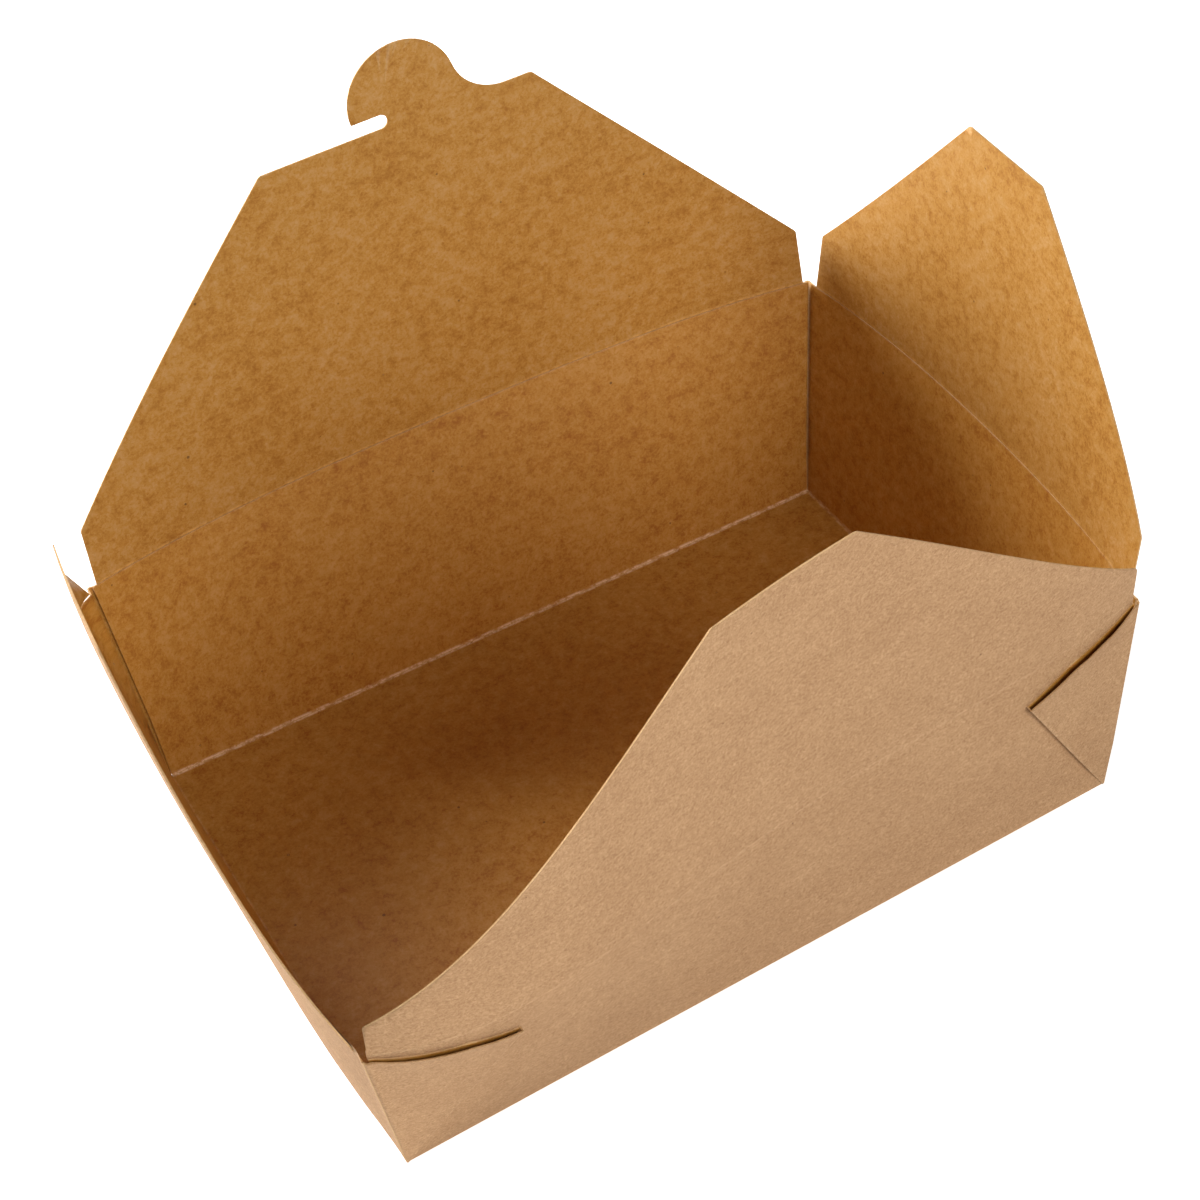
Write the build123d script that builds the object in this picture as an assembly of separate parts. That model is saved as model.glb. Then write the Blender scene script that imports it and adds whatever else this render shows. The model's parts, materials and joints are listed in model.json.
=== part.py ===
"""Kraft board takeaway box, stored open: a leakproof tray with four closing flaps.

The box is one die-cut sheet. The tray is the bottom panel, four walls that lean outwards and a
folded web at each corner, so that no cut edge reaches the food. Each flap turns on its crease
at the rim. Millimetres, +Z up, X along the long side and -Y towards the front. The origin is
the centre of the underside of the bottom panel.
"""
from build123d import *
from math import atan2, cos, degrees, radians, sin, sqrt, tan
import os

# Board
board = 0.4                   # thickness of the coated kraft board
reach = 500.0                 # overrun of every cutting block

# Tray, measured inside
floor_length = 198.0
floor_width = 138.0
rim_length = 214.0
rim_width = 157.0
depth = 65.0                  # floor to the crease of the long flaps, straight up
nest_step = 0.65              # how much lower the end creases lie, so that their flaps close first
crease_gap = 0.05             # play between a wall's top edge and the bead of its flap
fold_radius = 0.5             # outside of the folds round the bottom panel
corner_radius = 1.1           # outside of the upright folds at the four corners

# Corner webs
pocket_gap = 0.35             # open space between the two layers of a web
slit_gap = 0.5                # open slit between a long wall's folded edge and the end wall
web_drop = 12.0               # from the rim down to the web's point
web_kink_share = 0.64         # where the cut edge turns, as a share of the way to the point
web_kink_rise = 2.0           # height of the turn above a straight cut, in millimetres

# Rear flap with its hook
rear_lean = 9.0               # degrees outwards from upright
rear_root_width = 209.4
rear_shoulder_width = 208.6
rear_shoulder = 16.4
rear_length = 88.8
rear_top_width = 74.0
hook_radius = 14.5
hook_offset = 2.5             # centre of the hook, from the middle of the flap
hook_rise = 6.7               # centre of the hook above the flap's top edge
hook_throat_radius = 13.5     # hollow between the hook and the top edge
slot_width = 3.8
slot_end = -2.3               # blind end of the slot, from the middle of the flap

# Front flap
front_lean = 8.5              # degrees outwards from upright
front_root_width = 211.4
front_shoulder_width = 211.0
front_shoulder = 11.4
front_length = 85.6
front_top_width = 38.0

# End flaps
right_lean = 10.0             # degrees outwards from upright
left_lean = 8.5               # degrees outwards from upright
end_root_width = 151.4
end_shoulder_width = 151.0
end_shoulder = 15.9
end_length = 78.6
end_top_width = 32.0

flap_corner_radius = 1.6      # rounding of every cut corner of the flaps

# Worked out from the sizes above
side_lean = atan2((rim_width - floor_width) / 2, depth)
end_lean = atan2((rim_length - floor_length) / 2, depth)
crease_height = board + depth
end_crease_height = crease_height - nest_step
rim_drop = board / 2 + crease_gap
pocket_face = 2 * board + pocket_gap
web_face = 3 * board + pocket_gap


def half_length(height):
    """Half of the inside length at a height above the table."""
    return floor_length / 2 + (height - board) * tan(end_lean)


def half_width(height):
    """Half of the inside width at a height above the table."""
    return floor_width / 2 + (height - board) * tan(side_lean)


def trapezium(half, grow, low, high):
    """Corners of a section that widens upwards, grown square to its slanted sides."""
    bottom, top = half(low) + grow, half(high) + grow
    return [(-bottom, low), (bottom, low), (top, high), (-top, high)]


def tapered_block(grow_length, grow_width, low, high, upright_radius=0, bottom_radius=0):
    """The inside of the tray from low to high, with its walls moved out by two distances."""
    along = Plane.XZ * Polygon(*trapezium(half_length, grow_length / cos(end_lean), low, high), align=None)
    across = Plane.YZ * Polygon(*trapezium(half_width, grow_width / cos(side_lean), low, high), align=None)
    block = extrude(along, amount=reach, both=True) & extrude(across, amount=reach, both=True)
    if upright_radius > 0:
        uprights = [e for e in block.edges() if e.bounding_box().size.Z > (high - low) / 2]
        block = fillet(uprights, upright_radius)
    if bottom_radius > 0:
        block = fillet(block.edges().group_by(Axis.Z)[0], bottom_radius)
    return block


def across_tray(points):
    """A block with this outline in the X-Z plane, right through the tray from front to rear."""
    return extrude(Plane.XZ * Polygon(*points, align=None), amount=reach, both=True)


def both_ends(block):
    """The block at the right-hand end and its mirror image at the left."""
    return block + mirror(block, Plane.YZ)


def web_outline():
    """The diagonal fold and the cut edge of a web, in the face of the long wall.

    The sheet between the two walls is what a right angle leaves once both tapers are taken off.
    The diagonal halves it, so both layers of the web have one outline.
    """
    side_taper = atan2(half_length(crease_height) - half_length(board), depth / cos(side_lean))
    end_taper = atan2(half_width(crease_height) - half_width(board), depth / cos(end_lean))
    diagonal = (radians(90) - side_taper - end_taper) / 2 - side_taper
    rim = end_crease_height - rim_drop
    point_height = rim - web_drop
    root = (half_length(0), 0)
    point = (half_length(board) - (point_height - board) / cos(side_lean) * tan(diagonal), point_height)
    corner = (half_length(rim), rim)
    kink = (
        corner[0] + (point[0] - corner[0]) * web_kink_share,
        corner[1] + (point[1] - corner[1]) * web_kink_share + web_kink_rise,
    )
    return root, point, kink, corner


def tray():
    """Bottom panel, four walls and the four folded webs, as one sheet."""
    rim = crease_height - rim_drop
    end_rim = end_crease_height - rim_drop
    root, point, kink, corner = web_outline()

    panel_and_walls = tapered_block(board, board, 0, rim, bottom_radius=fold_radius)
    panel_and_walls -= tapered_block(0, 0, board, rim + board)
    slit = tapered_block(0, pocket_face, board, rim + board) - tapered_block(-slit_gap, reach / 4, 0, rim + 2 * board)
    panel_and_walls -= slit

    web = both_ends(across_tray([root, point, kink, corner, (reach, corner[1]), (reach, 0)]))
    outer_layer = tapered_block(board, web_face, 0, rim, corner_radius, fold_radius)
    outer_layer -= tapered_block(0, pocket_face, 0, rim + board, corner_radius - board)
    inner_layer = tapered_block(-slit_gap, 2 * board, 0, rim) - tapered_block(reach / 4, board / 2, 0, rim)

    fold = both_ends(across_tray([root, point, (point[0] + board, point[1]), (root[0] + board, 0)]))
    fold_bend = tapered_block(-slit_gap, web_face, 0, rim, bottom_radius=fold_radius)
    fold_bend -= tapered_block(reach / 4, board / 2, 0, rim)

    sheet = panel_and_walls + (outer_layer & web) + (inner_layer & web) + (fold_bend & fold)
    end_trim = Location((corner[0] - slit_gap / 2 + reach / 2, 0, end_rim + reach / 2)) * Box(reach, reach, reach)
    return sheet - both_ends(end_trim)


def flap_outline(root_width, shoulder_width, shoulder, length, top_width):
    """A flap laid flat: short upright sides, then two slanted edges up to the top edge."""
    outline = Polygon(
        (-root_width / 2, 0),
        (root_width / 2, 0),
        (shoulder_width / 2, shoulder),
        (top_width / 2, length),
        (-top_width / 2, length),
        (-shoulder_width / 2, shoulder),
        align=None,
    )
    cut_corners = [v for v in outline.vertices() if v.Y > shoulder / 2]
    return fillet(cut_corners, flap_corner_radius)


def hooked_outline():
    """The rear flap laid flat, with the round hook on its top edge and the slot beside it."""
    outline = flap_outline(rear_root_width, rear_shoulder_width, rear_shoulder, rear_length, rear_top_width)
    hook_height = rear_length + hook_rise
    throat_height = rear_length + hook_throat_radius
    throat_offset = hook_offset + sqrt((hook_radius + hook_throat_radius) ** 2 - (throat_height - hook_height) ** 2)
    hook = Pos(hook_offset, hook_height) * Circle(hook_radius)
    throat = Polygon(
        (hook_offset, hook_height),
        (throat_offset, throat_height),
        (throat_offset, 0),
        (hook_offset, 0),
        align=None,
    ) - Pos(throat_offset, throat_height) * Circle(hook_throat_radius)
    slot_centre = slot_end - slot_width / 2
    slot_height = rear_length + slot_width / 2
    slot = Pos(slot_centre, slot_height) * Circle(slot_width / 2)
    slot += Pos(slot_centre - rear_top_width / 2, slot_height) * Rectangle(rear_top_width, slot_width)
    return outline + hook + throat - slot


def on_crease(outline, root_width, crease, along, lean):
    """Board cut to an outline, stood on its crease and leaned out, with a round bead as its root."""
    outwards = along.cross(Vector(0, 0, 1)) * -1
    upwards = outwards * sin(radians(lean)) + Vector(0, 0, 1) * cos(radians(lean))
    stand = Plane(origin=crease, x_dir=along, z_dir=along.cross(upwards))
    plate = extrude(stand * outline, amount=board / 2, both=True)
    bead = stand * Rot(0, 90, 0) * Cylinder(board / 2, root_width)
    return plate + bead


side_crease = half_width(crease_height) + board / 2 / cos(side_lean)
end_crease = half_length(end_crease_height) + board / 2 / cos(end_lean)
end_outline = flap_outline(end_root_width, end_shoulder_width, end_shoulder, end_length, end_top_width)

parts = {
    "tray": tray(),
    "rear_flap": on_crease(
        hooked_outline(), rear_root_width, (0, side_crease, crease_height), Vector(1, 0, 0), rear_lean
    ),
    "front_flap": on_crease(
        flap_outline(front_root_width, front_shoulder_width, front_shoulder, front_length, front_top_width),
        front_root_width,
        (0, -side_crease, crease_height),
        Vector(-1, 0, 0),
        front_lean,
    ),
    "right_flap": on_crease(
        end_outline, end_root_width, (end_crease, 0, end_crease_height), Vector(0, -1, 0), right_lean
    ),
    "left_flap": on_crease(
        end_outline, end_root_width, (-end_crease, 0, end_crease_height), Vector(0, 1, 0), left_lean
    ),
}

os.makedirs("parts", exist_ok=True)
for name, solid in parts.items():
    export_step(solid, f"parts/{name}.step")
    print(name, round(solid.volume, 1), solid.bounding_box())
print("side crease", side_crease, crease_height, "end crease", end_crease, end_crease_height)
print("wall leans", degrees(side_lean), degrees(end_lean))
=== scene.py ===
# %% [markdown]
# A takeaway box is one sheet of kraft board. The solids hold its outline, its folds and the layers of
# its corner webs, all flat and square, as the board is when it is cut. A real box that has just been
# opened is never that flat: the creases spring back, so the walls and flaps belly outwards and the rim
# is pushed a little out of square. This script takes the flat model, cuts it into narrow strips so that
# it can bend, bows it as the real board bows, and gives it the finish of kraft board.

# %% The tools and the fixed frame
import bpy
import bmesh
import json
import numpy as np
from math import atan2, cos, pi, radians, sin, tan
from mathutils import Matrix


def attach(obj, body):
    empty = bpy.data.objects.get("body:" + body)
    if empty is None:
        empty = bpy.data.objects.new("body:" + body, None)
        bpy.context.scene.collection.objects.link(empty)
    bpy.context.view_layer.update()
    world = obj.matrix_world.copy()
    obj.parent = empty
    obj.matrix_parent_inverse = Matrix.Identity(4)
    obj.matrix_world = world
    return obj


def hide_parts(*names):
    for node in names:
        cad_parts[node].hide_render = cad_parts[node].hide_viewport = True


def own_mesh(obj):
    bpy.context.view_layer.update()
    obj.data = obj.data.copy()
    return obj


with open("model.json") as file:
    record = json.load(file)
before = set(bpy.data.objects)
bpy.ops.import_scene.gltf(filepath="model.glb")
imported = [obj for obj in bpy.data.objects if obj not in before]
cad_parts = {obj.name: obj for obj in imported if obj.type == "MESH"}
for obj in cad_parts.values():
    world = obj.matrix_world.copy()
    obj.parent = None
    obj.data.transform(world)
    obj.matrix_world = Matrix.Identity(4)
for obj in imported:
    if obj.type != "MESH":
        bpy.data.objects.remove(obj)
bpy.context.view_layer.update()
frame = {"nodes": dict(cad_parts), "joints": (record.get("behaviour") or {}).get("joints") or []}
MM = 0.001
print("solids:", sorted(frame["nodes"]))

# %% [markdown]
# The camera comes first, because every later choice is judged through it. It looks down into the box
# from the front left. A constraint could aim it at the box, but the picture is also tipped a little, so
# its turn is written as three angles: round the box, up from the table, and that roll. A camera looks
# along its own -Z, so the rows that the function returns are its right, its up and its back, and as
# columns they are its rotation.

# %% Camera
CAMERA_TURN, CAMERA_HEIGHT, CAMERA_ROLL = radians(-24.0), radians(44.7), radians(-7.9)
CAMERA_PLACE = np.array([-183.7, -411.1, 514.2]) * MM
CAMERA_LENS = 78.57


def camera_axes(turn, height, roll):
    """Right, up and back of a camera, as rows: the back points from the box to the camera."""
    back = np.array([sin(turn) * cos(height), -cos(turn) * cos(height), sin(height)])
    right = np.cross([0, 0, 1], back)
    right = right / np.linalg.norm(right)
    up = np.cross(back, right)
    return np.array([cos(roll) * right + sin(roll) * up, cos(roll) * up - sin(roll) * right, back])


camera = bpy.data.objects.new("camera", bpy.data.cameras.new("camera"))
bpy.context.scene.collection.objects.link(camera)
camera_place = np.eye(4)
camera_place[:3, :3] = camera_axes(CAMERA_TURN, CAMERA_HEIGHT, CAMERA_ROLL).T
camera_place[:3, 3] = CAMERA_PLACE
camera.matrix_world = Matrix(camera_place.tolist())
camera.data.lens = CAMERA_LENS
camera.data.clip_start = 10 * MM
bpy.context.scene.camera = camera
print("camera at", CAMERA_PLACE)

# %% [markdown]
# The flat box widens evenly from floor to rim. These few sizes are the ones that the solids were made
# with. They could be measured off the meshes, but typed once they read as the box's own, and everything
# that bends below is worked out from them. Each flap turns on its crease, whose place comes with the
# frame.

# %% Sizes of the flat box
FLOOR_LENGTH, FLOOR_WIDTH = 198 * MM, 138 * MM
RIM_LENGTH, RIM_WIDTH = 214 * MM, 157 * MM
BOARD, DEPTH = 0.4 * MM, 65 * MM
CREASE_HEIGHT = BOARD + DEPTH
WALL_FOOT = 0.6 * MM                      # where a wall is parted from the bottom panel
UP = np.array([0.0, 0.0, 1.0])
creases = {joint["child"].split("_")[0]: joint for joint in frame["joints"]}


def half_length(z):
    """Half the inside length at height z: it grows evenly from the floor to the rim."""
    return FLOOR_LENGTH / 2 + (z - BOARD) * (RIM_LENGTH - FLOOR_LENGTH) / 2 / DEPTH


def half_width(z):
    """Half the inside width at height z."""
    return FLOOR_WIDTH / 2 + (z - BOARD) * (RIM_WIDTH - FLOOR_WIDTH) / 2 / DEPTH


inside = [2 * half(CREASE_HEIGHT) / MM for half in (half_length, half_width)]
print("inside at the rim, mm:", np.round(inside, 1))

# %% [markdown]
# No long edge of a real box stays straight. The crease pushes the middle of its wall out, because the
# board wants to be flat again, and the flap above shares that bow and fades it, or keeps it, up to its
# top. A sheet of card bends in one direction only, so one curve along the crease tells the whole side. It
# could be sculpted by hand, but a formula can be matched to the photograph by a few numbers a side. It
# is a polynomial in k, which runs from -1 at one corner to 1 at the other.

# %% How each side bows
# out: which way the side faces; bow and spring: its curve, in mm; fade: the share of the bow that is gone
# at the top of the flap; drift: how fast the flap's curve slides along, a share of half the wall for each
# mm of height; soft: how far up and down the crease is rounded, in mm; lean and solid_lean: the flap's
# lean outwards, in the photograph and in the solid, in degrees; length: of the flap, in mm.
SIDES = {
    "rear": dict(out=(0, 1, 0), bow=(9.5, -0.2, 4.5, 1.2), spring=0, fade=0.76, drift=0, soft=0,
                 lean=7.2, solid_lean=9.0, length=88.8),
    "front": dict(out=(0, -1, 0), bow=(3.3, -8.0, 17.7, -1.2), spring=0, fade=-0.15, drift=0, soft=14,
                  lean=5.6, solid_lean=8.5, length=85.6),
    "right": dict(out=(1, 0, 0), bow=(6.3, 0, 1.7, -0.6), spring=0, fade=1.0, drift=0, soft=0,
                  lean=10.4, solid_lean=10.0, length=78.6),
    "left": dict(out=(-1, 0, 0), bow=(4.5, -1.4, 1.3, 0), spring=4.7, fade=-0.2, drift=0.011, soft=0,
                 lean=6.2, solid_lean=8.5, length=78.6),
}
BEYOND_SLOPE = -8.2                       # the bow beyond a corner, in mm for each half of the wall
BARREL = {"left": (0.4, -4.0)}            # the bulge of a wall half way up, in mm
STIFF_CORNER = 1.6 * MM                   # this much of a wall beside a corner doesn't bow


def stand(side, lean):
    """The up and outward directions of a board that leans outwards by an angle in degrees."""
    out = np.array(SIDES[side]["out"], float)
    rise, across = cos(radians(lean)), sin(radians(lean))
    return rise * UP + across * out, rise * out - across * UP


def wall_lean(side):
    """The lean of a wall, in degrees, worked out from how much the rim is larger than the floor."""
    grow = RIM_WIDTH - FLOOR_WIDTH if side in ("front", "rear") else RIM_LENGTH - FLOOR_LENGTH
    return atan2(grow / 2, DEPTH) * 180 / pi


def belly_direction(side):
    """Wall and flap bow together, half way between their outward directions."""
    halfway = stand(side, wall_lean(side))[1] + stand(side, SIDES[side]["lean"])[1]
    return halfway / np.linalg.norm(halfway)


def along(side, points):
    """Where points lie along their wall, as a share from -1 at one corner to 1 at the other."""
    x, y, z = points.T
    place, half = (x, half_length(z)) if side in ("front", "rear") else (y, half_width(z))
    return np.clip(place / (half - STIFF_CORNER), -1, 1)


def belly(side, share, corners=1.0):
    """How far out the board bows: (1 - k^2)(a + bk + ck^2 + dk^3), which is 0 at both corners, k = -1 and 1.

    The left side also springs out at its rear end, by s(1 + k)/2, and comes back just before the corner,
    by the share 1 - ck^60, where c fades from 1 at the crease to 0 higher up its flap. Beyond k = 1 the
    bow goes on in a straight line.
    """
    inside = np.clip(share, -1, 1)
    bow = (1 - inside**2) * np.polynomial.polynomial.polyval(inside, SIDES[side]["bow"])
    bow += SIDES[side]["spring"] * (1 - corners * inside**60) * (1 + inside) / 2
    return MM * (bow + BEYOND_SLOPE * np.maximum(share - 1, 0))


def barrel(side, share, height_share):
    """How far a wall bulges between floor and rim: 4r(1 - r)(1 - k^2)(a + bk), r the root of the height."""
    root = np.sqrt(np.clip(height_share, 0, 1))
    along_wall = (1 - share**2) * np.polynomial.polynomial.polyval(share, BARREL.get(side, (0, 0)))
    return MM * 4 * root * (1 - root) * np.maximum(along_wall, 0)


def rounding(side, bow, height):
    """A crease without a visible edge: a parabola takes (b - a)(w - |d|)^2 / 4w off between two slopes.

    Here b and a are the slopes below and above, w is how far up and down the crease is soft, and d is the
    distance from it.
    """
    width = max(SIDES[side]["soft"], 0.001) * MM
    below = tan(radians(wall_lean(side))) + bow / DEPTH
    above = tan(radians(SIDES[side]["lean"])) - SIDES[side]["fade"] * bow / (SIDES[side]["length"] * MM)
    return (below - above) * np.maximum(width - np.abs(height), 0)**2 / (4 * width)


print("leans of the walls:", {side: round(wall_lean(side), 1) for side in SIDES})
print("bow in the middle, mm:", {side: round(belly(side, np.zeros(1))[0] / MM, 1) for side in SIDES})

# %% [markdown]
# The corners of an open box aren't square either: nothing holds the rim, so it racks. Each rim corner
# and each floor corner gets a small shift of its own, and every other point takes an even blend of the
# eight. Neighbouring walls share their corner's shift, so they still meet after it. A lattice round the
# box would do the same, but a table of eight shifts is easier to match to the photograph.

# %% Corners out of square
# The shifts are in mm, and the keys tell the corner: left -1 or right 1, and front -1 or rear 1.
RIM_SHIFT = {(-1, 1): (3.4, 2.0, 1.0), (1, 1): (2.2, -1.6, 0.7),
             (-1, -1): (0, -5.0, -3.6), (1, -1): (-0.6, 8.8, -0.2)}
FLOOR_SHIFT = {(-1, 1): (-1.1, 1.6, 1.3), (1, 1): (-0.2, -2, 0),
               (-1, -1): (-1.0, -1.6, 0), (1, -1): (1.3, 0.7, 0.4)}


def out_of_square(x_share, y_share, height_share):
    """How far a point is shifted: an even blend of its four corners' shifts, and of floor and rim."""
    shift = np.zeros((len(x_share), 3))
    for corner in RIM_SHIFT:
        near = (1 + corner[0] * x_share) * (1 + corner[1] * y_share) / 4
        there = np.outer(1 - height_share, FLOOR_SHIFT[corner]) + np.outer(height_share, RIM_SHIFT[corner])
        shift += near[:, None] * there * MM
    return shift


def shifted(side, share, height_share):
    """The shift out of square of points on one wall, at a share along it and up it."""
    sign = np.full(len(share), float(sum(SIDES[side]["out"])))
    if side in ("front", "rear"):
        return out_of_square(share, sign, height_share)
    return out_of_square(sign, share, height_share)


print("largest shift, mm:", max(max(map(abs, shift)) for shift in RIM_SHIFT.values()))

# %% [markdown]
# At each corner the board between two walls is folded in half and glued flat on the long wall: the web.
# Its outer layer springs off the wall along the cut edge, where the photograph shows a dark gap, and its
# layers are tight at the foot. The solids have the layers with an even gap. A sculpting brush could open
# them, but they lie less than a millimetre apart, so the points are moved here by a formula of their
# place and their depth in the stack of board.

# %% The corner webs
WEB_POINT, WEB_KINK = (39.0, 12.0), (25.0, 5.7)    # mm from the corner, and mm below the rim
WEB_END = 100                             # mm from the corner, where a web's slide has faded out
WEB_POINT_HEIGHT = 52 * MM
WEB_NUDGE = 4.0 * MM
WEB_RISE = {-1: 2.0 * MM, 1: 0.5 * MM}    # at the left-hand and the right-hand webs
WEB_LIFT = {-1: 0.9 * MM, 1: 1.5 * MM}
WEB_DEPTH = 14 * MM                       # how far below its edge a web lifts, and above its foot is tight
LIFT_PLACES = (0, 8, 28, WEB_POINT[0])    # mm from the corner
LIFT_SHARES = (0.15, 0.8, 1, 0.6)         # how much of the lift the edge has at those places
OUTER_LAYER = (0.65, 0.9)                 # mm from the wall's middle: the lift starts, and is whole
WALL_FACE = 0.41 * MM                     # level, from a long wall's inner face to just outside it
TIGHT_FOOT = 0.9                          # the share of the gap between the layers that is pressed out
SLIT_OPENING = 0.7 * MM
SLIT_FADE, SLIT_HEIGHT = (0.5, 6), (2, 20)    # mm from the corner and mm up, from end to end
INNER_LAYERS, SLIT_FACE = 0.9 * MM, 0.3 * MM  # outside the long wall's inner face, and off the end wall


def web_nudged(side, points):
    """Slides the webs' points towards their corners and up: most at the points, nothing at the corners.

    The slide grows evenly from the corner to the point and fades from there to WEB_END. It also grows
    evenly from the floor to the point's height, and fades from there to the rim.
    """
    if side not in ("front", "rear"):
        return points
    from_corner = half_length(points[:, 2]) - np.abs(points[:, 0])
    there = np.interp(from_corner / MM, [0, WEB_POINT[0], WEB_END], [0, 1, 0])
    height = np.interp(points[:, 2], [BOARD, WEB_POINT_HEIGHT, CREASE_HEIGHT], [0, 1, 0])
    rise = np.where(points[:, 0] < 0, WEB_RISE[-1], WEB_RISE[1]) * there * height
    return points + np.outer(np.sign(points[:, 0]) * there * WEB_NUDGE, [1, 0, 0]) + np.outer(rise, UP)


def slit_opened(points):
    """Draws the folded edges of the long walls back from the end walls.

    By SLIT_OPENING at the corner, fading along the wall over SLIT_FADE, and growing from the floor over
    SLIT_HEIGHT. Only the inner layers move.
    """
    x, y, z = points.T
    inner = (np.abs(y) < half_width(z) + INNER_LAYERS) & (np.abs(x) < half_length(z) - SLIT_FACE)
    from_corner = (half_length(z) - np.abs(x)) / MM
    back = SLIT_OPENING * np.interp(from_corner, SLIT_FADE, [1, 0]) * np.interp(z / MM, SLIT_HEIGHT, [0, 1])
    return np.column_stack([x - np.sign(x) * np.where(inner, back, 0), y, z])


def web_pressed(points):
    """Presses the webs' layers together towards the bottom corners, where the fold is tightest."""
    x, y, z = points.T
    over = np.maximum(np.abs(y) - half_width(z) - WALL_FACE, 0)
    tight = np.interp(z, [0, WEB_DEPTH], [TIGHT_FOOT, 0])
    return np.column_stack([x, y - np.sign(y) * over * tight, z])


def web_lifted(side, points):
    """How far a web's cut edge springs off the wall: most at the edge, nothing WEB_DEPTH below it.

    The lift falls with the square of the depth below the edge. Only the outer of the web's two layers
    lifts.
    """
    if side not in ("front", "rear"):
        return np.zeros(len(points))
    out = stand(side, wall_lean(side))[1]
    depth = (points - np.array(creases[side]["pos_m"])) @ out
    layer = np.interp(depth / MM, OUTER_LAYER, [0, 1])
    from_corner = (half_length(points[:, 2]) - np.abs(points[:, 0])) / MM
    along_edge, below_rim = zip((0, 0), WEB_KINK, WEB_POINT)
    edge = CREASE_HEIGHT - np.interp(from_corner, along_edge, below_rim) * MM
    below = np.clip(1 - (edge - points[:, 2]) / WEB_DEPTH, 0, 1)
    place = np.interp(from_corner, LIFT_PLACES, LIFT_SHARES)
    return np.where(points[:, 0] < 0, WEB_LIFT[-1], WEB_LIFT[1]) * layer * below**2 * place


print("webs lift by, mm:", {end: lift / MM for end, lift in WEB_LIFT.items()})

# %% [markdown]
# A piece is bent by moving the points of its flat mesh. A bend modifier would curve each piece alone and
# part it from its neighbours. Here two rules keep the sheet whole: points of a wall and of its flap at
# the same place on the crease move alike, and each point keeps its depth in the board, so its thickness
# stays.

# %% Bending the walls, the flaps and the bottom panel
SWAY = {"rear": 0.018, "right": 0.028}    # how far a flap leans along its crease, towards +X or +Y
TOP_EDGE = 0.26 * MM                      # below the crease: the cut top of a wall
SUNK, THINNED = 0.3 * MM, 0.9             # drawn up by more than this, it loses this share of thickness
CORNER_FADE = 12 * MM                     # up a flap: here its curve stops coming back at the corner


def bent_wall(side, points):
    """A wall's points, shifted out of square, and bowed by a share that grows from floor to rim.

    Where the shift lowers the rim, the top edge is drawn out upwards and thinned. It is hidden in the
    flap's board at rest, and keeps the rim at its height once the flap has turned away.
    """
    lift = web_lifted(side, points)
    points = web_nudged(side, web_pressed(slit_opened(points) if side in ("front", "rear") else points))
    share = along(side, points)
    height_share = (points[:, 2] - WALL_FOOT) / (CREASE_HEIGHT - WALL_FOOT)
    bow = belly(side, share)
    outwards = bow * height_share - rounding(side, bow, CREASE_HEIGHT - points[:, 2]) + lift
    outwards += barrel(side, share, height_share)
    shift = shifted(side, share, height_share)
    up, out = stand(side, wall_lean(side))
    top = points[:, 2] > creases[side]["pos_m"][2] - TOP_EDGE
    sunk = np.where(top, np.maximum(-shift @ up, 0), 0)
    depth = (points - np.array(creases[side]["pos_m"])) @ out
    points = points + np.outer(sunk, up) - np.outer(np.where(sunk > SUNK, THINNED * depth, 0), out)
    return points + shift + outwards[:, None] * belly_direction(side)


def bent_flap(side, points):
    """A flap's points: stood up at the photograph's lean on the bowed crease, with the bow fading upwards.

    On the left flap the bow drifts towards the rear as it rises, as an oblique roll does.
    """
    crease = np.array(creases[side]["pos_m"])
    up, out = stand(side, SIDES[side]["solid_lean"])
    rise, depth = (points - crease) @ up, (points - crease) @ out
    foot = points - np.outer(rise, up) - np.outer(depth, out)
    share = along(side, foot)
    new_up, new_out = stand(side, SIDES[side]["lean"])
    corners = np.clip(1 - rise / CORNER_FADE, 0, 1)
    bow = belly(side, share + SIDES[side]["drift"] * np.maximum(rise, 0) / MM, corners)
    kept_bow = 1 - SIDES[side]["fade"] * rise / (SIDES[side]["length"] * MM)
    outwards = bow * kept_bow - rounding(side, bow, rise)
    level = np.ones(len(share))
    sway = np.outer(SWAY.get(side, 0) * rise, np.abs(np.array(SIDES[side]["out"]))[[1, 0, 2]])
    return (foot + shifted(side, share, level) + np.outer(rise, new_up) + np.outer(depth, new_out) + sway
            + outwards[:, None] * belly_direction(side))


def bent_floor(points):
    """The bottom panel's points, shifted with its four corners."""
    points = web_pressed(points)
    x_share = np.clip(points[:, 0] / (FLOOR_LENGTH / 2), -1, 1)
    y_share = np.clip(points[:, 1] / (FLOOR_WIDTH / 2), -1, 1)
    return points + out_of_square(x_share, y_share, np.zeros(len(points)))


middle = np.array([creases["rear"]["pos_m"]])
print("the rear crease moves out by, mm:", ((bent_flap("rear", middle) - middle)[0, 1] / MM).round(1))

# %% [markdown]
# A flat face can't bend, however many points the bending moves. So each solid's mesh is copied, its doubled
# points are merged, and planes cut it into strips a few millimetres wide. Subdividing would add points too,
# but planes can follow the creases and lie closer where the board bends most. The tray is also cut at its
# four corner edges, so that each wall is a piece of its own.

# %% Cutting a copy of the board
STRIP, ROW, FINE_ROW = 3 * MM, 8 * MM, 2 * MM
CREASE_ROWS = np.array([0.3, 0.7, 1.3]) * MM    # beside a crease, where the bend is sharpest
CORNER_ROWS = np.arange(1.6, 5.5, 0.5) * MM     # beside an upright corner, where the left side springs


def board_copy(name):
    """A copy of a solid's mesh, merged, to be cut."""
    board = bmesh.new()
    board.from_mesh(frame["nodes"][name].data)
    bmesh.ops.remove_doubles(board, verts=board.verts, dist=1e-6)
    return board


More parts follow.
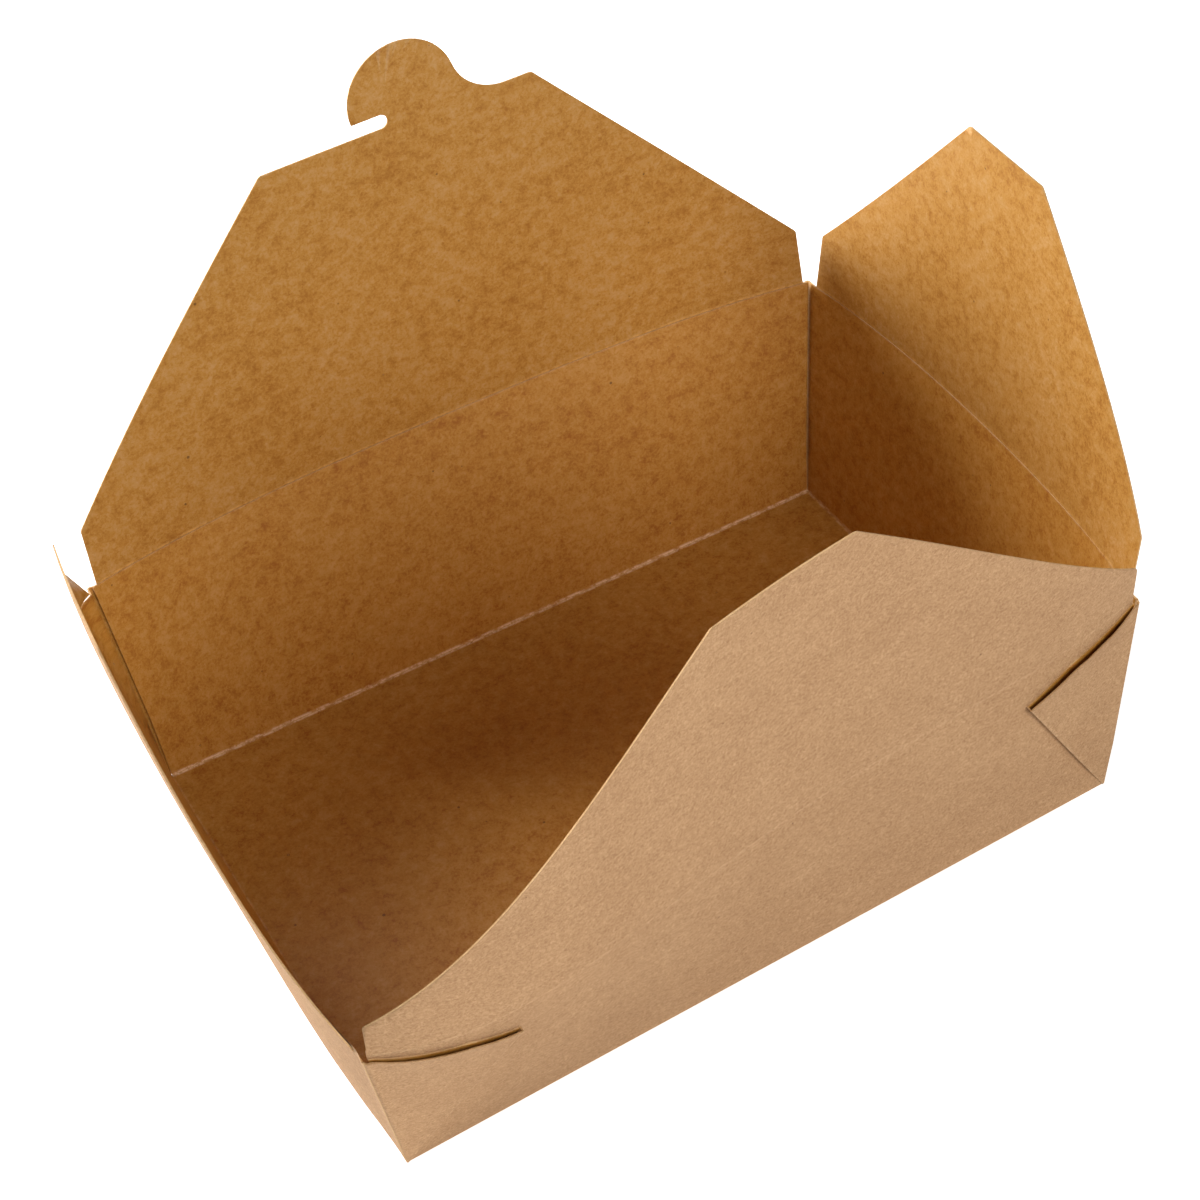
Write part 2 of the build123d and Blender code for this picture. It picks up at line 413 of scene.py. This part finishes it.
def cut(board, point, direction, drop=False):
    """Cuts the board with a plane. With drop, what lies beyond the plane goes, and the cut is closed."""
    everything = board.verts[:] + board.edges[:] + board.faces[:]
    found = bmesh.ops.bisect_plane(board, geom=everything, dist=1e-7, plane_co=point, plane_no=direction,
                                   clear_outer=drop)
    if drop:
        rim = [g for g in found["geom_cut"] if isinstance(g, bmesh.types.BMEdge) and g.is_valid]
        bmesh.ops.holes_fill(board, edges=rim, sides=0)


def strips(board, point, direction, places):
    """Cuts the board with a row of parallel planes, at distances from a point along a direction."""
    for place in places:
        cut(board, np.array(point) + place * np.array(direction), direction)


def corner_plane(right, rear):
    """A point and the direction of the plane that parts an end wall from a long wall, at one corner."""
    floor_corner = np.array([right * FLOOR_LENGTH / 2, rear * FLOOR_WIDTH / 2, BOARD])
    rim_corner = np.array([right * RIM_LENGTH / 2, rear * RIM_WIDTH / 2, CREASE_HEIGHT])
    direction = np.cross(rim_corner - floor_corner, [-right, -rear, 0])
    direction = direction / np.linalg.norm(direction)
    return floor_corner, direction if direction[1] * rear > 0 else -direction


print("strips of", STRIP / MM, "mm, rows of", ROW / MM, "and", FINE_ROW / MM, "mm")

# %% [markdown]
# A material is a small network of nodes. Three helpers are enough for all of them: one turns a colour as
# it is written on a screen into the linear numbers that the renderer works with, one adds a node with
# its settings and links, and one makes a fresh material.

# %% Helpers for materials
def linear(colour):
    """An sRGB hex colour as linear red, green, blue and alpha."""
    parts = [int(colour[i:i + 2], 16) / 255 for i in (1, 3, 5)]
    return [p / 12.92 if p <= 0.04045 else ((p + 0.055) / 1.055) ** 2.4 for p in parts] + [1.0]


def add(tree, kind, links=None, **settings):
    """Adds a node: settings are its properties, and links give its inputs a value or another's output."""
    node = tree.nodes.new(kind)
    for name, value in settings.items():
        setattr(node, name, value)
    for name, value in (links or {}).items():
        if isinstance(value, bpy.types.NodeSocket):
            tree.links.new(value, node.inputs[name])
        else:
            node.inputs[name].default_value = value
    return node


def fresh(name):
    """A new material with an empty node tree."""
    material = bpy.data.materials.new(name)
    material.use_nodes = True
    material.node_tree.nodes.clear()
    return material, material.node_tree


print("mid grey is", round(linear("#808080")[0], 3), "in linear light")

# %% [markdown]
# Kraft board is unbleached wood pulp pressed in layers. Outside it is bare: matt, light tan, with a fine
# pebbled grain, short fibres and small dark specks of bark. Inside it has a thin clear plastic coat,
# which makes it a deeper golden brown, smoother, slightly shiny and cloudy. Where it is cut, the pale
# pulp shows. All patterns are laid out on the flat sheet, through a UV map in metres, so that they keep
# their real size and bend with the board. A scanned picture of board could be used, but a recipe has no
# seams and no shadows in it. A single fibre is only 0.03 mm wide, too fine for this picture, so the
# grain is drawn as coarse as the clumps of fibres that still show, 0.5 to 0.8 mm.

# %% Kraft board, the same recipe for both faces and for the cut edge
def weighted(tree, noises):
    """The sum of noises times their weights, less its middle, so that it swings round 0."""
    total = -sum(weight for noise, weight in noises) / 2
    for noise, weight in noises:
        total = add(tree, "ShaderNodeMath", {0: noise.outputs[0], 1: weight, 2: total},
                    operation="MULTIPLY_ADD").outputs[0]
    return total


def spots(tree, cells, channel, size, power):
    """Round spots, one in some of the cells: a cell's random colour, to a power, gives its radius."""
    random = add(tree, "ShaderNodeSeparateColor", {0: cells.outputs["Color"]})
    radius = add(tree, "ShaderNodeMath", {0: random.outputs[channel], 1: power}, operation="POWER")
    radius = add(tree, "ShaderNodeMath", {0: radius.outputs[0], 1: size}, operation="MULTIPLY")
    inside = add(tree, "ShaderNodeMath", {0: radius.outputs[0], 1: cells.outputs["Distance"]},
                 operation="SUBTRACT")
    soft = add(tree, "ShaderNodeMapRange", {"Value": inside.outputs[0], "From Max": 0.04, "To Max": 0.7})
    return soft.outputs[0]


def kraft(name, colours, weights, grain, rough, coat, bump, painted_highlight_colour, speck_size):
    """Kraft pulp: clouds of denser fibre, a fine grain, pale and dark specks, all on the flat sheet.

    The three colours are the darkest, the usual and the palest pulp. The weights are for broad clouds, small
    clouds and grain. Near a fold a painted highlight pales the colour, in a broken line. Grain and bump are
    in millimetres, and the speck size is a share of the 4 mm cells that hold the specks.
    """
    material, tree = fresh(name)
    flat = add(tree, "ShaderNodeUVMap", uv_map="flat sheet").outputs[0]
    broad = add(tree, "ShaderNodeTexNoise", {"Vector": flat, "Scale": 1 / (24 * MM), "Detail": 2.0})
    small = add(tree, "ShaderNodeTexNoise", {"Vector": flat, "Scale": 1 / (3.6 * MM), "Detail": 5.0,
                                             "Roughness": 0.68, "Distortion": 0.15})
    fine = add(tree, "ShaderNodeTexNoise", {"Vector": flat, "Scale": 1 / (grain * MM), "Detail": 3.0,
                                            "Roughness": 0.6, "Distortion": 0.8})
    swing = weighted(tree, list(zip((broad, small, fine), weights)))
    tone = add(tree, "ShaderNodeMapRange", {"Value": swing, "From Min": -0.25, "From Max": 0.25})
    ramp = add(tree, "ShaderNodeValToRGB", {0: tone.outputs[0]})
    ramp.color_ramp.elements.new(0.5)
    for element, colour in zip(ramp.color_ramp.elements, colours):
        element.color = linear(colour)
    cells = add(tree, "ShaderNodeTexVoronoi", {"Vector": flat, "Scale": 1 / (4 * MM)}, feature="F1")
    bark = spots(tree, cells, 0, speck_size, 7.0)
    pale = spots(tree, cells, 1, speck_size * 0.8, 5.0)
    specked = add(tree, "ShaderNodeMixRGB", {0: bark, 1: ramp.outputs[0], 2: linear("#4b2c14")})
    specked = add(tree, "ShaderNodeMixRGB", {0: pale, 1: specked.outputs[0], 2: linear(colours[2])})
    # Painted highlight along the folds: a paler colour near a fold, broken by noise and scaled by the fold's
    # strength
    fold = add(tree, "ShaderNodeAttribute", attribute_name="fold").outputs["Fac"]
    highlight_strength = add(tree, "ShaderNodeAttribute", attribute_name="highlight_strength").outputs["Fac"]
    near = add(tree, "ShaderNodeMapRange", {"Value": fold, "From Min": 0.2 * MM, "From Max": 0.9 * MM,
                                            "To Min": 1.0, "To Max": 0.0}, interpolation_type="SMOOTHSTEP")
    highlight_breaks = add(tree, "ShaderNodeTexNoise", {"Vector": flat, "Scale": 1 / (3.0 * MM), "Detail": 5.0,
                                             "Roughness": 0.75})
    broken = add(tree, "ShaderNodeMapRange", {"Value": highlight_breaks.outputs[0], "From Min": 0.44, "From Max": 0.56,
                                              "To Min": 0.15, "To Max": 1.0})
    highlight_mask = add(tree, "ShaderNodeMath", {0: near.outputs[0], 1: broken.outputs[0]}, operation="MULTIPLY")
    highlight_mask = add(tree, "ShaderNodeMath", {0: highlight_mask.outputs[0], 1: highlight_strength}, operation="MULTIPLY")
    final = add(tree, "ShaderNodeMixRGB", {0: highlight_mask.outputs[0], 1: specked.outputs[0],
                                           2: linear(painted_highlight_colour)})
    height = add(tree, "ShaderNodeMath", {0: highlight_mask.outputs[0], 1: 1.5, 2: fine.outputs[0]},
                 operation="MULTIPLY_ADD")
    relief = add(tree, "ShaderNodeBump", {"Height": height.outputs[0], "Distance": bump * MM,
                                          "Strength": 1.0})
    skin = add(tree, "ShaderNodeBsdfPrincipled", {
        "Base Color": final.outputs[0], "Roughness": rough, "Normal": relief.outputs[0],
        "IOR": 1.47, "Coat Weight": coat, "Coat Roughness": 0.35, "Specular IOR Level": 0.4})
    add(tree, "ShaderNodeOutputMaterial", {"Surface": skin.outputs[0]})
    return material


print("one recipe, for four finishes")

# %% [markdown]
# The four finishes differ only in their colours, in how coarse and raised the grain is, and in the coat.
# Four recipes would be easier to tell apart, but one keeps the board looking like one sheet. The colours
# were chosen beside the photograph, under the lamps of this scene.

# %% The four finishes
# The outside was only pressed by the paper machine's rolls: no gloss at all, and a pebbled relief.
bare_kraft = kraft("bare kraft board, outside", colours=("#97714d", "#ac8660", "#c09b73"),
                   weights=(0.2, 0.4, 1.0), grain=0.75, rough=0.9, coat=0.0, bump=0.20,
                   painted_highlight_colour="#c9a37b", speck_size=0.11)
# The inside was coated with clear plastic: it fills the relief, deepens the colour and shines softly.
coated_kraft = kraft("coated kraft board, flaps", colours=("#9a6420", "#b28138", "#bc925a"),
                     weights=(0.3, 1.0, 0.7), grain=0.8, rough=0.6, coat=0.15, bump=0.06,
                     painted_highlight_colour="#d4a55f", speck_size=0.13)
# The same coat in the tray, painted a little deeper as shade for the inside of the box, with a painted
# highlight nearly white on its folds.
shaded_coated_kraft = kraft("coated kraft board, tray, painted deeper as shade", colours=("#985c18", "#b17d30", "#bd8d4c"),
                   weights=(0.3, 1.0, 0.7), grain=0.8, rough=0.6, coat=0.15, bump=0.06,
                   painted_highlight_colour="#e4c4a2", speck_size=0.13)
# A cut edge is torn fibre ends: pale, dull and soft, with no specks.
cut_pulp = kraft("cut edge of the board", colours=("#a88458", "#bd986a", "#cba97c"),
                 weights=(0.3, 0.5, 0.8), grain=0.5, rough=0.95, coat=0.0, bump=0.03,
                 painted_highlight_colour="#cba97c", speck_size=0.0)
print("finishes:", [finish.name for finish in (bare_kraft, coated_kraft, shaded_coated_kraft, cut_pulp)])

# %% [markdown]
# Each piece keeps three facts from before it was bent: which face of the board was the coated one, where it
# lies on the flat sheet, and how far it is from the nearest fold, with how strong that fold's painted
# highlight is. The first picks the finish, the second lays out the pulp, and the third places the painted
# highlight along the folds. They could be painted on by hand, but worked out from the flat board they stay
# right when a bow is changed.

# %% Which face, which place, which fold
SHEET_STEP = 300 * MM                     # each side has a patch of the flat sheet of its own
FACING = 0.6                              # a cosine: the board's faces look out, or in, more than this
POCKET = (0.4 * MM, 0.8 * MM)             # depths between which the two layers of a web face each other


def nearest(distances, strengths):
    """The distance to the nearest of some folds, at each point, and how strong that fold's painted highlight
    is.
    """
    distances = np.array(distances).clip(0)
    return distances.min(axis=0), np.array(strengths)[distances.argmin(axis=0)]


def faces_of(outward, crease=None):
    """A function that tells a face's finish: 0 coated, 1 bare, 2 cut edge.

    The coated face looks inwards. In a web's pocket the sheet is folded back on itself, so there, at a
    depth between the two of POCKET from the wall's middle, the coated face looks outwards.
    """
    def finish(looks, middles):
        facing = looks @ outward
        depth = (middles - (0 if crease is None else crease)) @ outward
        pocket = (crease is not None) & (depth > POCKET[0]) & (depth < POCKET[1])
        outer = facing > FACING
        return np.select([facing < -FACING, outer & pocket, outer], [0, 0, 1], 2)
    return finish


def place_along(side, points):
    """Places along a side, in metres: x on the long sides and y on the ends."""
    return points[:, 0] if side in ("front", "rear") else points[:, 1]


def on_flat_sheet(side, crease, up):
    """A function that lays points out on the flat sheet: along the crease, and up or down from it."""
    def flat(points):
        place = np.column_stack([place_along(side, points), (points - crease) @ up])
        return place + SHEET_STEP * sum(SIDES[side]["out"])
    return flat


fold_example = nearest([np.array([2.0, 7.0]), np.array([5.0, 1.0])], [0.2, 0.6])
print("the folds nearest to two points are", fold_example[0], "away and rubbed by", fold_example[1])

# %% [markdown]
# A piece is finished while it is flat and bent last, so that nothing has to be worked out on the bent
# shape. Its edges could all be smoothed, but a cut board has crisp ones, so they are kept by their angle.

# %% From a cut board to a finished piece
SHARP = radians(35)                       # faces that meet at more than this keep a sharp edge


def read(items, field):
    """A field of three numbers of every point or face of a mesh, as one array with a row for each."""
    numbers = np.zeros(len(items) * 3)
    items.foreach_get(field, numbers)
    return numbers.reshape(-1, 3)


def finish_board(name, board, flat, fold, finishes, bend):
    """Makes the object. Finish, sheet place and fold distance come from the flat board, then it is bent."""
    mesh = bpy.data.meshes.new(name)
    board.to_mesh(mesh)
    board.free()
    points = read(mesh.vertices, "co")
    # the tray takes the coated finish painted deeper, as shade; the flaps take the plain coated finish
    for material in (coated_kraft if "flap" in name else shaded_coated_kraft, bare_kraft, cut_pulp):
        mesh.materials.append(material)
    finish = finishes(read(mesh.polygons, "normal"), read(mesh.polygons, "center"))
    mesh.polygons.foreach_set("material_index", finish.astype(np.int32))
    corners = np.zeros(len(mesh.loops), np.int32)
    mesh.loops.foreach_get("vertex_index", corners)
    mesh.uv_layers.new(name="flat sheet").data.foreach_set("uv", flat(points)[corners].ravel())
    # the distance to the nearest fold, and the strength of the painted highlight along it
    for attribute, values in zip(("fold", "highlight_strength"), fold(points)):
        mesh.attributes.new(attribute, "FLOAT", "POINT").data.foreach_set("value", values.astype(np.float32))
    mesh.vertices.foreach_set("co", bend(points).ravel())
    mesh.polygons.foreach_set("use_smooth", np.ones(len(mesh.polygons), bool))
    mesh.update()
    mesh.set_sharp_from_angle(angle=SHARP)
    piece = bpy.data.objects.new(name, mesh)
    bpy.context.scene.collection.objects.link(piece)
    print(name, len(mesh.vertices), "points", len(mesh.polygons), "faces")
    return piece


# %% [markdown]
# The bottom panel rides on the tray and stays flat: what it stands on holds it down, so it needs no curve,
# only the shift of its corners. Its folds carry the strongest painted highlights of the box, and the rear
# fold's is nearly white.

# %% Bottom panel
# How strong the painted highlight along a fold is, here and for the other pieces: 0 is none and 1 is pale
# all along
FLOOR_HIGHLIGHT = {"rear": 1.0, "front": 0.2, "right": 0.45, "left": 0.2}


def cut_out_floor():
    """The bottom panel with the folds round it."""
    board = board_copy("tray")
    cut(board, (0, 0, WALL_FOOT), (0, 0, 1), drop=True)
    strips(board, (0, 0, 0), (1, 0, 0), np.arange(-FLOOR_LENGTH / 2, FLOOR_LENGTH / 2, ROW))
    strips(board, (0, 0, 0), (0, 1, 0), np.arange(-FLOOR_WIDTH / 2, FLOOR_WIDTH / 2, ROW))
    for direction, half in (((1, 0, 0), FLOOR_LENGTH / 2), ((0, 1, 0), FLOOR_WIDTH / 2)):
        for end in (-1, 1):
            strips(board, end * half * np.array(direction), -end * np.array(direction), CREASE_ROWS)
    return board


def floor_fold(points):
    """How far points are from the nearest fold round the bottom panel, and how strong that fold's painted
    highlight is.
    """
    x, y, z = points.T
    ends, sides = (FLOOR_LENGTH / 2 - x, FLOOR_LENGTH / 2 + x), (FLOOR_WIDTH / 2 - y, FLOOR_WIDTH / 2 + y)
    return nearest([*ends, *sides], [FLOOR_HIGHLIGHT[side] for side in ("right", "left", "rear", "front")])


floor_panel = finish_board("bottom_panel", cut_out_floor(), lambda p: p[:, :2], floor_fold,
                           faces_of(-UP), bent_floor)
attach(floor_panel, "tray")
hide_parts("tray")

# %% [markdown]
# A wall is part of the tray, but its bow belongs to the crease: when the flap turns down or out, the real
# board is pulled straight. The wall could stay bowed, but the flap's straight hinge would then leave it.
# Its rows are closer in the upper part, where the webs end.

# %% Walls
UPPER_PART = (48 * MM, 64 * MM)
WALL_ROWS = np.concatenate([np.arange(ROW, UPPER_PART[0], ROW), np.arange(*UPPER_PART, FINE_ROW)])
# Strengths of the painted highlights along the rim crease, the upright corners and the webs' diagonal folds
RIM_HIGHLIGHT, CORNER_HIGHLIGHT, DIAGONAL_HIGHLIGHT = 0.22, 0.2, 0.6
WEB_DIAGONAL, DIAGONAL_SQUARE = 0.59, 0.86    # the web's fold leans 0.59 sideways for 1 up, cosine 0.86
WEB_LAYER = 0.7 * MM                      # the diagonal fold shows from this depth outwards


def cut_out_wall(side):
    """The part of the tray between two corner planes and above the floor, cut into strips."""
    board = board_copy("tray")
    out = np.array(SIDES[side]["out"])
    cut(board, (0, 0, WALL_FOOT), (0, 0, -1), drop=True)
    for end in (-1, 1):
        point, direction = corner_plane(end, out[1]) if out[1] else corner_plane(out[0], end)
        cut(board, point, -direction if out[1] else direction, drop=True)
    run = np.abs(out[[1, 0, 2]])
    half = half_length(CREASE_HEIGHT) if out[1] else half_width(CREASE_HEIGHT)
    strips(board, (0, 0, 0), run, np.arange(-half, half, STRIP))
    if not out[1]:
        strips(board, (0, 0, 0), run, np.concatenate([half - CORNER_ROWS, CORNER_ROWS - half]))
    strips(board, (0, 0, 0), UP, WALL_ROWS)
    strips(board, (0, 0, WALL_FOOT), UP, CREASE_ROWS)
    strips(board, (0, 0, creases[side]["pos_m"][2]), -UP, CREASE_ROWS)
    return board


def make_wall(side):
    """One wall of the tray, bowed."""
    up, out = stand(side, wall_lean(side))
    crease = np.array(creases[side]["pos_m"])

    def fold(points):
        corner = (1 - np.abs(along(side, points))) * FLOOR_WIDTH / 2 + STIFF_CORNER / 2
        from_corner = (half_length(0) - np.abs(points[:, 0])) / MM
        diagonal = np.abs(from_corner - points[:, 2] * WEB_DIAGONAL / MM) * MM * DIAGONAL_SQUARE
        diagonal[(points - crease) @ out < WEB_LAYER] = 1
        return nearest([crease[2] - points[:, 2], points[:, 2] - WALL_FOOT, corner, diagonal],
                       [RIM_HIGHLIGHT, FLOOR_HIGHLIGHT[side], CORNER_HIGHLIGHT, DIAGONAL_HIGHLIGHT])

    wall = finish_board(side + "_wall", cut_out_wall(side), on_flat_sheet(side, crease, up), fold,
                        faces_of(out, crease), lambda p: bent_wall(side, p))
    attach(wall, "tray")
    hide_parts("tray")
    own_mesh(wall)


for wall_side in SIDES:
    make_wall(wall_side)

# %% [markdown]
# A flap is one flat panel that hangs on its crease. It rides on its own body, so it turns with the joint.

# %% Closing flaps
# the strength of the painted highlight along a flap's crease
FLAP_HIGHLIGHT = 0.6


def cut_out_flap(side):
    """A whole flap, cut into strips and rows."""
    board = board_copy(side + "_flap")
    out = np.array(SIDES[side]["out"])
    run = np.abs(out[[1, 0, 2]])
    half = half_length(CREASE_HEIGHT) if out[1] else half_width(CREASE_HEIGHT)
    up = stand(side, SIDES[side]["solid_lean"])[0]
    strips(board, (0, 0, 0), run, np.arange(-half, half, STRIP))
    if not out[1]:
        strips(board, (0, 0, 0), run, np.concatenate([half - CORNER_ROWS, CORNER_ROWS - half]))
    strips(board, creases[side]["pos_m"], up, np.arange(FINE_ROW, ROW, FINE_ROW))
    strips(board, creases[side]["pos_m"], up, np.arange(ROW, SIDES[side]["length"] * MM, ROW / 2))
    strips(board, creases[side]["pos_m"], up, CREASE_ROWS)
    return board


def make_flap(side):
    """One closing flap, bowed."""
    up, out = stand(side, SIDES[side]["solid_lean"])
    crease = np.array(creases[side]["pos_m"])

    def fold(points):
        return nearest([(points - crease) @ up], [FLAP_HIGHLIGHT])

    flap = finish_board(side + "_flap_board", cut_out_flap(side), on_flat_sheet(side, crease, up), fold,
                        faces_of(out), lambda p: bent_flap(side, p))
    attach(flap, side + "_flap")
    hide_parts(side + "_flap")
    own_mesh(flap)


for flap_side in SIDES:
    make_flap(flap_side)

# %% [markdown]
# When a wall is pulled straight, it moves away from the end of its neighbour at a racked corner. The real
# corner is one folded sheet and stays shut. A longer wall would stick out while the box is at rest, so a
# thin strip lies hidden inside the neighbour instead.

# %% Strips hidden inside the racked corners
TONGUE_ROOT = 4 * MM                      # how much of a strip stays inside the wall
TONGUE_THINNED = 0.8                      # the share of its thickness that a strip loses, to lie hidden
WEB_START = 0.5 * MM                      # from a wall's middle: beyond this lies the web


def cut_out_tongue(side, end, gap, foot, reach):
    """A strip of a wall beside one corner.

    Its outer edge goes past the rim corner by the reach, and slants away from the corner by the foot.
    """
    board = cut_out_wall(side)
    out = np.array(SIDES[side]["out"])
    run = np.abs(out[[1, 0, 2]]) * end
    half_rim, half_floor = ((half_length if out[1] else half_width)(z) for z in (CREASE_HEIGHT, BOARD))
    line = run * (half_rim - half_floor + foot) + UP * DEPTH
    direction = np.cross(line, out)
    direction = direction / np.linalg.norm(direction) * np.sign(direction @ run)
    rim = out * half_width(CREASE_HEIGHT) if out[1] else out * half_length(CREASE_HEIGHT)
    corner = rim + run * (half_rim + reach) + UP * CREASE_HEIGHT
    cut(board, corner, direction, drop=True)
    cut(board, corner - direction * (gap + TONGUE_ROOT), -direction, drop=True)
    away = stand(side, wall_lean(side))[1]
    cut(board, rim + UP * CREASE_HEIGHT + away * WEB_START, away, drop=True)
    return board


def make_tongue(side, end, meets, gap, foot, reach):
    """A thin strip inside the end of a wall, thinned and bent like the wall.
    """
    up, out = stand(side, wall_lean(side))
    crease, other = (np.array(creases[s]["pos_m"]) for s in (side, meets))

    def thinned(points):
        return bent_wall(side, points - np.outer((points - crease) @ out, out) * TONGUE_THINNED)

    def fold(points):
        return nearest([np.ones(len(points))], [0.0])

    tongue = finish_board(f"{side}_wall_tongue", cut_out_tongue(side, end, gap, foot, reach),
                          on_flat_sheet(side, crease, up), fold, faces_of(out), thinned)
    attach(tongue, "tray")
    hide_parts("tray")
    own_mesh(tongue)


make_tongue("right", -1, "front", gap=8.8 * MM, foot=7.7 * MM, reach=0.3 * MM)
make_tongue("rear", -1, "left", gap=3.4 * MM, foot=4.4 * MM, reach=-0.1 * MM)

# %% [markdown]
# The box was photographed on white, in soft light that comes mostly from behind on the left. The floor is
# a plain pale sheet, because a white background alone would catch no shadow. It glows a little for the
# camera alone, so it looks white where the box's shadow doesn't darken it, and no extra light falls on
# the box.

# %% Floor
FLOOR_REACH, FLOOR_GLOW = 1.1, 0.62       # metres from the middle, and the strength of the glow


def seen_by_camera(tree):
    """1 for what the camera sees, also in a mirror or through something clear; 0 for light on the box."""
    path = add(tree, "ShaderNodeLightPath")
    kinds = ("Camera", "Glossy", "Transmission")
    seen, mirrored, through = (path.outputs[f"Is {kind} Ray"] for kind in kinds)
    either = add(tree, "ShaderNodeMath", {0: seen, 1: mirrored}, operation="MAXIMUM")
    return add(tree, "ShaderNodeMath", {0: either.outputs[0], 1: through}, operation="MAXIMUM").outputs[0]


def plain_floor():
    """A pale floor that shows white to the camera and keeps the box's shadow."""
    mesh = bpy.data.meshes.new("floor")
    corners = np.array([(-1, -1, 0), (1, -1, 0), (1, 1, 0), (-1, 1, 0)]) * FLOOR_REACH
    mesh.from_pydata(corners.tolist(), [], [(0, 1, 2, 3)])
    floor = bpy.data.objects.new("floor", mesh)
    bpy.context.scene.collection.objects.link(floor)
    material, tree = fresh("white floor")
    seen = seen_by_camera(tree)
    lift = add(tree, "ShaderNodeMath", {0: seen, 1: FLOOR_GLOW}, operation="MULTIPLY")
    skin = add(tree, "ShaderNodeBsdfPrincipled", {
        "Base Color": linear("#e8e7e5"), "Roughness": 0.9, "Emission Color": linear("#ffffff"),
        "Emission Strength": lift.outputs[0]})
    add(tree, "ShaderNodeOutputMaterial", {"Surface": skin.outputs[0]})
    mesh.materials.append(material)


plain_floor()
print("floor reaches", FLOOR_REACH, "m")

# %% [markdown]
# Board is matt, so large soft lamps show it best, and three lamps can each be turned up or down, which
# one picture of a sky can't. The strongest stands behind the box on the left:
# it shines on the inner faces of the right flap and the front flap, and the front wall stays in its
# shade. A weak low one from the left brightens the same faces, and one at the front lights the front
# wall and the inner face of the rear flap.

# %% Lamps
def softbox(name, turn, height, distance, size, power):
    """A square area lamp that looks at the middle of the box from a turn and a height in degrees."""
    data = bpy.data.lights.new(name, "AREA")
    data.shape = "SQUARE"
    data.size = size
    data.energy = power
    lamp = bpy.data.objects.new(name, data)
    bpy.context.scene.collection.objects.link(lamp)
    axes = camera_axes(radians(turn), radians(height), 0)
    place = np.eye(4)
    place[:3, :3] = axes.T
    place[:3, 3] = axes[2] * distance + np.array([0, 0, DEPTH])
    lamp.matrix_world = Matrix(place.tolist())


softbox("key softbox", turn=-150, height=30, distance=1.3, size=0.8, power=40.5)
softbox("low softbox", turn=-130, height=8, distance=1.3, size=0.8, power=5.1)
softbox("front softbox", turn=10, height=30, distance=1.3, size=0.8, power=15.6)


def white_world(strength):
    """A white background for the camera, and a weaker even light for the box."""
    world = bpy.data.worlds.new("white studio")
    bpy.context.scene.world = world
    world.use_nodes = True
    tree = world.node_tree
    tree.nodes.clear()
    seen = seen_by_camera(tree)
    light = add(tree, "ShaderNodeMapRange", {"Value": seen, "To Min": strength, "To Max": 1.0})
    ground = add(tree, "ShaderNodeBackground", {"Color": linear("#ffffff"), "Strength": light.outputs[0]})
    add(tree, "ShaderNodeOutputWorld", {"Surface": ground.outputs[0]})


white_world(0.03)
bpy.context.scene.view_settings.view_transform = "Standard"
